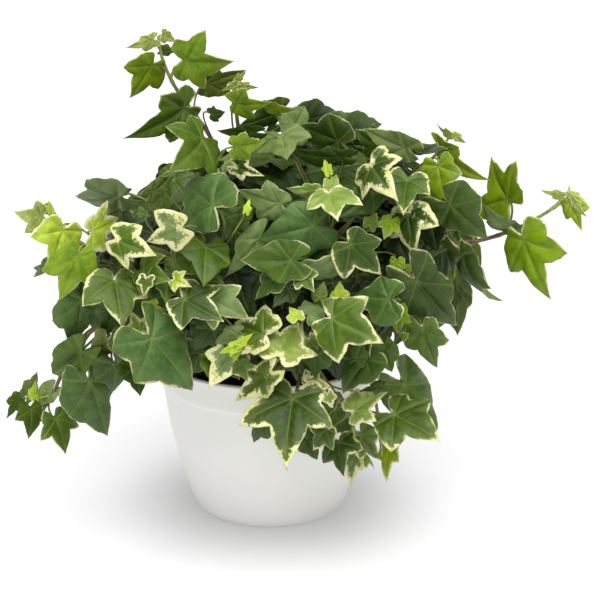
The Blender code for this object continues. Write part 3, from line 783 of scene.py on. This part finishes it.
def laid_leaf(x, h, tip_x, tip_h, width, code, lift=0):
    """A leaf from its row on the plan."""
    dice = random.Random(f"{x} {h} {tip_x} {tip_h}")
    tone, cream, kind = code
    looks = math.dist((x, h), (tip_x, tip_h))
    depth = dome_depth(x, h)
    slope = max(-STEEPEST * looks, min(STEEPEST * looks, dome_depth(tip_x, tip_h) - depth))
    if width > looks:
        slope = math.copysign(min(MOST_TIPPED * looks, math.sqrt(width ** 2 - looks ** 2)), h - tip_h)
    base, tip = on_plan(x, h, depth + lift), on_plan(tip_x, tip_h, depth + lift + slope)
    leaf = Leaf(kind, tone, int(cream), base, tip, dice)
    along, normal = (tip - base).normalized(), dome_normal(base)
    beside = along.cross(leaf.facing)
    lean = math.atan2(-normal.dot(beside), normal.dot(beside.cross(along)))
    length = (tip - base).length
    if width < EDGE_ON * length:
        leaf.roll = math.copysign(math.acos(width / (ORDINARY * length)), lean)
        leaf.width = ORDINARY * length
    else:
        leaf.roll = max(-MOST_LEAN, min(MOST_LEAN, LEAN_SHARE * lean)) + dice.uniform(-0.1, 0.1)
        leaf.width = width / math.cos(leaf.roll)
    return leaf


leaves = [laid_leaf(*row) for rows in ROWS.values() for row in rows]
sizes = [(leaf.tip - leaf.base).length for leaf in leaves]
print("blades are", round(min(sizes)), "to", round(max(sizes)), "mm long")

# %% [markdown]
# ## The rest of the foliage
# The far side has as many leaves as the near side, and behind the leaves that show there are more, smaller
# ones that close the view into the plant. These are mostly given the deep tone s, a painted shade for the
# inside of the bush, and the sown leaves elsewhere also take the painted tones g and l now and then. Nobody
# places those one by one. They are sown over the dome with seeded dice, tips down, and are refused where the
# plant has no leaves, so its outline stays its own.

# %% Sow the hidden leaves
INNER_TRIES = 460
CROWN_TRIES = 240
BACK_TRIES = 260
BUSH_HALF_WIDTH = 128.0
BUSH_MIDDLE = 128.0
BUSH_HALF_HEIGHT = 100.0
LEFT_SHARE, RIGHT_SHARE = 0.86, 1.1
SKIRT_HALF_WIDTH = 52.0
SKIRT_HEM, BUSH_HEM = 40.0, 92.0


def in_outline(point, spread=1.0):
    """Whether a place lies inside the plant's bushy outline, as seen on the plan."""
    sight = point - EYE
    flat = EYE + sight * ((EYE - AIM).dot(OUT) / -sight.dot(OUT))
    x, h = flat.dot(ACROSS), flat.dot(UP)
    tall = BUSH_HALF_HEIGHT * (RIGHT_SHARE if x > 0 else LEFT_SHARE)
    hem = SKIRT_HEM if abs(x) < SKIRT_HALF_WIDTH else BUSH_HEM
    return h > hem and (x / BUSH_HALF_WIDTH) ** 2 + ((h - BUSH_MIDDLE) / tall) ** 2 < spread ** 2


def sown_leaf(turn, climb, depth, length, tone, dice):
    """A leaf that hangs depth millimetres inside the dome, at angles turn from straight back and climb up."""
    outward = Vector((math.sin(turn) * math.cos(climb), math.cos(turn) * math.cos(climb), math.sin(climb)))
    skin = DOME_CENTRE + outward * DOME_RADII
    base = skin - dome_normal(skin) * depth
    normal = dome_normal(base)
    swing = dice.uniform(-0.9, 0.9)
    down = Vector((0, 0, -1)) + 0.35 * normal
    down = Matrix.Rotation(swing, 3, normal) @ (down - down.dot(normal) * normal).normalized()
    tilt = dice.uniform(-0.10, 0.45)
    tip = base + (down + tilt * normal).normalized() * length
    kind = dice.choice("LBB")
    leaf = Leaf(kind, tone, 0, base, tip, dice)
    leaf.width, leaf.roll = length * dice.uniform(0.85, 1.05), dice.uniform(-0.35, 0.35)
    leaf.facing = normal + Vector((0, 0, 0.35))
    return leaf


sower = random.Random(5)
# Painted light in the tone letters: s stands for shade deep in the bush, g for a sheen of the white room on
# the wax, l for light coming through the leaf from behind.
back, crown, inner = [], [], []
for _ in range(BACK_TRIES):
    leaf = sown_leaf(sower.uniform(-1.75, 1.75), math.asin(sower.uniform(-0.62, 0.98)), sower.uniform(-4, 14),
                     sower.uniform(26, 44), sower.choice("ddmmbgl"), sower)
    leaf.cream = sower.choice((0, 1, 1, 2, 3))
    if leaf.base.y > -8 and in_outline(leaf.base) and in_outline(leaf.tip):
        back.append(leaf)
for _ in range(CROWN_TRIES):
    climb = math.asin(sower.uniform(0.45, 1.0))
    turn = sower.uniform(-math.pi, math.pi)
    leaf = sown_leaf(turn, climb, sower.uniform(4, 12) + 22 * math.sin(climb) ** 4, sower.uniform(24, 38),
                     sower.choice("ddsmg"), sower)
    if leaf.base.y > -45 and in_outline(leaf.base, 1.02) and in_outline(leaf.tip, 1.02):
        crown.append(leaf)
for _ in range(INNER_TRIES):
    leaf = sown_leaf(sower.uniform(-math.pi, math.pi), math.asin(sower.uniform(-0.6, 0.95)),
                     sower.uniform(26, 46), sower.uniform(24, 38), sower.choice("ssd"), sower)
    if in_outline(leaf.base, 0.92) and in_outline(leaf.tip, 0.92) and leaf.tip.z > POT_HEIGHT + 4:
        inner.append(leaf)
print(len(back), "leaves on the far side,", len(crown), "on top and", len(inner), "inside")

# %% [markdown]
# Real leaves push each other aside. Each new leaf is tested against those already placed, and where it
# would cut through one, or through the pot, it slides along the sight line until it is free. Sliding that
# way keeps its place in the view. One of the hidden leaves that finds no room is left out.

# %% Settle the leaves
SLIDES = (0, -3, 3, -6, 6, -9, 9, -13, 13, -17, -22, -28)
COARSE_RINGS = (0, 2, 4, 7)


def collision_tree(leaf):
    points = leaf.points().reshape(len(RINGS), -1, 3)[list(COARSE_RINGS)]
    faces = ring_quads(len(COARSE_RINGS), points.shape[1])
    return BVHTree.FromPolygons([tuple(p) for p in points.reshape(-1, 3)], faces)


pot_bm = bmesh.new()
pot_bm.from_mesh(pot.data)
bmesh.ops.scale(pot_bm, vec=(1 / MM,) * 3, verts=pot_bm.verts)
pot_tree = BVHTree.FromBMesh(pot_bm)
pot_bm.free()


def settle(crowd, must_stay):
    """The leaves of crowd that found room, slid free of the ones placed before them."""
    kept = []
    for leaf in crowd:
        sight = (EYE - leaf.base).normalized()
        start = 0.0
        for slide in SLIDES:
            leaf.shift(sight * (slide - start))
            start = slide
            tree = collision_tree(leaf)
            centre, reach = (leaf.base + leaf.tip) / 2, (leaf.tip - leaf.base).length
            near = [other for middle, size, other in placed if (middle - centre).length < size + reach]
            if not tree.overlap(pot_tree) and not any(tree.overlap(other) for other in near):
                break
        else:
            if not must_stay:
                continue
            leaf.shift(sight * -start)
            tree = collision_tree(leaf)
        placed.append((centre, reach, tree))
        kept.append(leaf)
    return kept


placed = []
leaves = settle(leaves, True)
for hidden in (back, crown, inner):
    found_room = settle(hidden, False)
    print(len(found_room), "of", len(hidden), "found room")
    leaves += found_room
print(len(leaves), "leaves in all")

# %% [markdown]
# ## Leaf stalks
# Every blade stands on a thin stalk that comes off the stem and bends over to meet the blade from behind.
# The nearest stem that lies under or inside the leaf carries it. A young stalk points the way its stem
# grows, so each one starts some way back along the stem and first runs on with it: stalks that all left the
# stem at right angles would look like rungs.

# %% Give each leaf a stem and a stalk
STALK_STEPS = 9
STALK_SIDES = 6
LONGEST_STALK = 90.0
SET_BACK = 0.7
MOST_SET_BACK = 26.0
FIRST_PLACE = 3
UNDER_STEM_COST = 1.5


def carrier(leaf):
    """(stem, place on it) for a leaf: near, and rather below the blade than above it."""
    def cost(name, k):
        gap = leaf.base - routes[name][k]
        return gap.length + max(0.0, -gap.z) * UNDER_STEM_COST
    return min((cost(name, k), name, k) for name in routes for k in range(FIRST_PLACE, len(routes[name])))[1:]


def stalk_path(leaf, start, onward):
    """From the stem, first along it, to the blade's heart, arriving from under the blade."""
    m = leaf.frame()
    facing = (m.to_3x3() @ Vector((0, 0, 1))).normalized()
    along = m.to_3x3() @ Vector((0, 1, 0))
    end = leaf.base + HEART * along - facing * 0.5
    gap = (end - start).length
    leaving = start + onward * 0.35 * gap
    bend = end - along.normalized() * 0.20 * gap - facing * 0.12 * gap
    path = []
    for i in range(STALK_STEPS):
        t = i / (STALK_STEPS - 1)
        path.append((1 - t) ** 3 * start + 3 * t * (1 - t) ** 2 * leaving
                    + 3 * t * t * (1 - t) * bend + t ** 3 * end)
    return path


for leaf in leaves:
    leaf.stem, place = carrier(leaf)
    route = routes[leaf.stem]
    gap = (leaf.base - route[place]).length
    step = (route[place] - route[place - 1]).length
    place = max(FIRST_PLACE, place - round(min(MOST_SET_BACK, SET_BACK * gap) / step))
    start, onward = route[place], (route[place] - route[place - 1]).normalized()
    reach = leaf.base - start
    if reach.length > LONGEST_STALK:
        start = leaf.base - reach.normalized() * LONGEST_STALK
    leaf.stalk = stalk_path(leaf, start, onward)
print({name: sum(leaf.stem == name for leaf in leaves) for name in routes})

# %% [markdown]
# ## Making the leaf meshes
# All the leaves of one stem are joined into one piece: the plant stays easy to handle, and each leaf is still
# a closed body with its own thickness. The upper face, the under face and the stalk get a finish each. What
# the paint needs is stored on the points: the leaf's green, which for some tones holds painted shade, sheen
# or backlight, how wide its cream margin is, how far the point is from the margin, and where it lies along
# and beside its vein.

# %% Tones
# The tones s, g and l are painted light: s a painted shade for leaves deep in the plant, g a painted sheen on
# the wax, l a painted glow of light through the leaf from behind.
TONES = {
    "d": (55, 80, 11), "s": (28, 46, 4), "b": (77, 105, 50), "m": (76, 101, 16), "g": (118, 136, 80),
    "l": (130, 158, 14), "y": (184, 205, 62), "p": (208, 216, 120), "c": (148, 168, 78), "o": (106, 118, 48),
}
CREAM_WIDTHS = (0.0, 0.015, 0.035, 0.090)
THICKNESS = 0.55
RIM_THICKNESS_SHARE = 0.35


def leaf_green(leaf):
    """The leaf's linear green, a little off its tone; with the tones s, g and l it carries painted shade,
    sheen or backlight.
    """
    bright = leaf.dice.uniform(0.86, 1.14)
    warm = leaf.dice.uniform(0.93, 1.07)
    red, green, blue, _ = linear(*TONES[leaf.tone])
    return (red * bright * warm, green * bright, blue * bright / warm, 1.0)


# %% Build the foliage of one stem
UPPER, UNDER, STALK = 0, 1, 2


def store(mesh, name, kind, channel, values):
    """Values painted on a mesh's points, one for each point."""
    attribute = mesh.attributes.new(name, kind, "POINT")
    attribute.data.foreach_set(channel, np.array(values, dtype=np.float32).ravel())


def foliage(name, crowd):
    """One mesh object with every leaf of crowd: blades and stalks."""
    points, faces, slots, greens, paints, places = [], [], [], [], [], []
    for leaf in crowd:
        shape, margin, along, across = leaf.shape
        rings, rays = margin.shape
        upper = leaf.points()
        facing = np.array((leaf.frame().to_3x3() @ Vector((0, 0, 1))).normalized())
        thick = THICKNESS * (1 - (1 - RIM_THICKNESS_SHARE) * np.array(RINGS) ** 6)
        under = upper - facing * np.repeat(thick, rays)[:, None]
        keep = np.r_[0, rays:rings * rays]
        first = len(points)
        count = len(keep)
        points += [tuple(p) for p in upper[keep]] + [tuple(p) for p in under[keep]]
        seed = leaf.dice.uniform(0, 50)
        cream = CREAM_WIDTHS[leaf.cream] * leaf.dice.uniform(0.8, 1.3)
        for _ in (UPPER, UNDER):
            greens += [leaf_green(leaf)] * count
            paints += [(m, cream, seed) for m in margin.reshape(-1)[keep]]
            places += list(zip(along.reshape(-1)[keep], across.reshape(-1)[keep], [seed] * count))

        def corner(i, k):
            return first if i == 0 else first + 1 + (i - 1) * rays + k % rays
        for k in range(rays):
            faces.append((corner(0, 0), corner(1, k + 1), corner(1, k)))
            faces.append((corner(0, 0) + count, corner(1, k) + count, corner(1, k + 1) + count))
            slots += [UPPER, UNDER]
            for i in range(1, rings - 1):
                quad = (corner(i, k), corner(i, k + 1), corner(i + 1, k + 1), corner(i + 1, k))
                faces += [quad, tuple(c + count for c in reversed(quad))]
                slots += [UPPER, UNDER]
            rim = (corner(rings - 1, k), corner(rings - 1, k + 1))
            faces.append((rim[0], rim[1], rim[1] + count, rim[0] + count))
            slots.append(UPPER)

        girth = 0.45 + 0.011 * (leaf.tip - leaf.base).length
        radii = [girth * (1.35 - 0.45 * min(1.0, i / 3)) for i in range(STALK_STEPS)]
        tube_points, tube_faces = tube(leaf.stalk, radii, STALK_SIDES)
        first = len(points)
        points += [tuple(p) for p in tube_points]
        faces += [tuple(first + c for c in face) for face in tube_faces]
        slots += [STALK] * len(tube_faces)
        greens += [leaf_green(leaf)] * len(tube_points)
        paints += [(0.5, 0.0, seed)] * len(tube_points)
        places += [(0.0, 0.5, seed)] * len(tube_points)

    mesh = bpy.data.meshes.new(name)
    mesh.from_pydata([tuple(c * MM for c in p) for p in points], [], faces)
    mesh.polygons.foreach_set("material_index", slots)
    store(mesh, "green", "FLOAT_COLOR", "color", greens)
    store(mesh, "paint", "FLOAT_VECTOR", "vector", paints)
    store(mesh, "vein", "FLOAT_VECTOR", "vector", places)
    mesh.shade_smooth()
    return add_object(name, mesh)


bunches = {}
for name in routes:
    crowd = [leaf for leaf in leaves if leaf.stem == name]
    if crowd:
        bunches[name] = foliage("leaves_" + name, crowd)
print(len(bunches), "bunches,", sum(len(b.data.polygons) for b in bunches.values()), "faces")

# %% [markdown]
# ## Ivy green
# A variegated ivy leaf is painted in layers. Over the leaf's green, which for the tones s, g and l holds a
# painted shade, a painted sheen or a painted glow from behind, lie darker and greyer patches, then the pale
# veins with fine side veins that leave them at a slant, and last the cream margin, which is ragged, wide in
# some places and gone in others. All of it is drawn from the values stored on the mesh and from noise, so
# each layer stays sharp at any distance. The waxy upper face has a broad sheen, and the under face is pale
# and matt. Distances here are in blade lengths.

# %% Leaf finishes
SIDE_VEIN_SPACING = 0.065
SIDE_VEIN_SLANT = 0.95
VEIN_EDGES = (0.002, 0.013)
HALO_WIDTH = 0.055
RAGGEDNESS = 1.6


def leaf_finish(name, paleness, vein_strength, roughness):
    ivy = Finish(name)
    where = ivy.surface_point()
    margin, width, _ = ivy.parts(ivy.painted("paint", "Vector"))
    along, across, _ = ivy.parts(ivy.painted("vein", "Vector"))
    ebb = ivy.step(width, 0.02, 0.09, 0.25, 0.75)
    cream = ivy.times(width, ivy.step(ivy.mottle(where, 95.0, 1.0), 0.36, 0.64, ebb, 1.5))

    cells = ivy.mottle(where, 3200.0, 2.0)
    patches = ivy.mottle(where, 130.0, 4.0, 0.6)
    blotches = ivy.mottle(where, 260.0, 3.0, 0.6)
    uneven = ivy.minus(blotches, 0.5)
    green = ivy.painted("green", "Color")
    dark = ivy.blend(1.0, green, (0.58, 0.66, 0.48, 1), "MULTIPLY")
    grey = ivy.blend(0.50, green, linear(126, 144, 84))
    colour = ivy.blend(ivy.step(patches, 0.40, 0.58), dark, green)
    near_margin = ivy.step(ivy.plus(margin, ivy.times(uneven, 0.30)), 0.02, 0.20, 1.0, 0.0)
    greyness = ivy.times(near_margin, ivy.step(cream, 0.0, 0.05, 0.12, 0.85))
    colour = ivy.blend(greyness, colour, grey)
    colour = ivy.blend(ivy.step(cells, 0.35, 0.65, 0.0, 0.22), colour, dark)

    thinning = ivy.step(along, 0.0, 0.85, 1.0, 0.2)
    main_vein = ivy.step(ivy.calc("DIVIDE", across, thinning), *VEIN_EDGES, 1.0, 0.0)
    slant = ivy.minus(along, ivy.times(across, SIDE_VEIN_SLANT))
    comb = ivy.calc("PINGPONG", ivy.plus(slant, ivy.times(uneven, 0.10)), SIDE_VEIN_SPACING)
    side_vein = ivy.times(ivy.step(comb, 0.0, 0.009, 1.0, 0.0), ivy.step(across, 0.02, 0.26, 0.45, 0.10))
    halo = ivy.step(across, 0.0, HALO_WIDTH, 0.30, 0.0)
    veins = ivy.calc("MAXIMUM", ivy.calc("MAXIMUM", main_vein, side_vein), halo)
    vein_colour = ivy.blend(0.55, green, linear(176, 194, 104))
    colour = ivy.blend(ivy.times(veins, vein_strength), colour, vein_colour)

    teeth = ivy.plus(ivy.times(ivy.mottle(where, 620.0, 2.0), 1.5), blotches)
    bite = ivy.times(ivy.minus(teeth, 1.25), ivy.times(cream, RAGGEDNESS))
    inside = ivy.calc("DIVIDE", ivy.plus(margin, bite), ivy.calc("MAXIMUM", cream, 0.001))
    is_cream = ivy.times(ivy.step(inside, 0.60, 1.25, 1.0, 0.0), ivy.step(cream, 0.001, 0.012))
    cream_colour = ivy.blend(ivy.step(patches, 0.35, 0.65), linear(229, 224, 172), linear(208, 208, 136))
    cream_colour = ivy.blend(ivy.step(cream, 0.012, 0.045, 0.55, 0.0), cream_colour, green)
    colour = ivy.blend(is_cream, colour, cream_colour)
    ivy.set("Base Color", ivy.blend(paleness, colour, linear(124, 144, 86)))
    ivy.set("Roughness", ivy.step(blotches, 0.3, 0.7, roughness - 0.05, roughness + 0.08))
    ivy.set("Specular IOR Level", 0.28)
    ivy.bump(ivy.minus(ivy.times(cells, 0.25), ivy.times(veins, 0.8)), 0.35, 0.0004)
    return ivy.material


upper_finish = leaf_finish("ivy_upper", 0.0, 0.50, 0.40)
under_finish = leaf_finish("ivy_under", 0.62, 0.45, 0.62)
print("leaf finishes:", upper_finish.name, "and", under_finish.name)

# %% [markdown]
# Leaf stalks are smooth and olive, flushed with red-brown here and there. Old stems are bark brown with
# pale specks, and they turn green towards their growing tips. One painted value, the youth, mixes the two.

# %% Stalk and bark
stalk = Finish("ivy_stalk")
flush = stalk.step(stalk.mottle(stalk.surface_point(), 60.0, 2.0), 0.45, 0.65, 0.0, 0.7)
stalk_green = stalk.blend(0.45, stalk.painted("green", "Color"), linear(132, 142, 74))
stalk.set("Base Color", stalk.blend(flush, stalk_green, linear(112, 78, 52)))
stalk.set("Roughness", 0.45)

bark = Finish("ivy_bark")
where = bark.surface_point()
streaks = bark.mottle(where, 420.0, 5.0, 0.65)
lenticels = bark.step(bark.mottle(where, 1100.0, 1.0), 0.66, 0.72)
shades = bark.step(streaks, 0.3, 0.7)
old = bark.blend(shades, linear(62, 45, 30), linear(122, 96, 66))
old = bark.blend(lenticels, old, linear(168, 148, 112))
young = bark.blend(shades, linear(112, 124, 62), linear(150, 160, 84))
bark.set("Base Color", bark.blend(bark.painted("youth"), old, young))
bark.set("Roughness", 0.6)
bark.bump(streaks, 0.5, 0.0005)

for name, bunch in bunches.items():
    for finish in (upper_finish, under_finish, stalk.material):
        bunch.data.materials.append(finish)
    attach(bunch, "root")
print("leaf finishes are on", len(bunches), "bunches")

# %% [markdown]
# ## Growing the stems
# A stem is thickest where it leaves the soil, swells a little at each leaf joint, and thins to its tip.

# %% Stem meshes
STEM_SIDES = 12
FOOT_RADIUS = 1.8
TIP_RADIUS = 0.8
JOINT_EVERY = 6
JOINT_SWELL = 1.22

for name, route in routes.items():
    last = len(route) - 1
    radii = []
    for i in range(last + 1):
        swell = JOINT_SWELL if i % JOINT_EVERY == 0 else 1.0
        radii.append((FOOT_RADIUS + (TIP_RADIUS - FOOT_RADIUS) * i / last) * swell)
    points, faces = tube(route, radii, STEM_SIDES)
    mesh = bpy.data.meshes.new("stem_of_" + name)
    mesh.from_pydata([tuple(p * MM) for p in points], [], faces)
    youth = [min(1.0, max(0.0, (k // STEM_SIDES) / last * 2.6 - 1.5)) for k in range(len(points))]
    store(mesh, "youth", "FLOAT", "value", youth)
    mesh.shade_smooth()
    mesh.materials.append(bark.material)
    stem = add_object("stem_of_" + name, mesh)
    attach(stem, "root")
    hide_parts("stem_" + name)
print(len(routes), "stems of", STEM_SIDES, "sides")

# %% [markdown]
# The frame's plain leaves give way to the modelled ones: each of them is hidden.

# %% Hand over the frame's leaves
plain_leaves = sorted(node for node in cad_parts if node.startswith("leaf_"))
for node in plain_leaves:
    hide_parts(node)
print(len(plain_leaves), "plain leaves replaced")
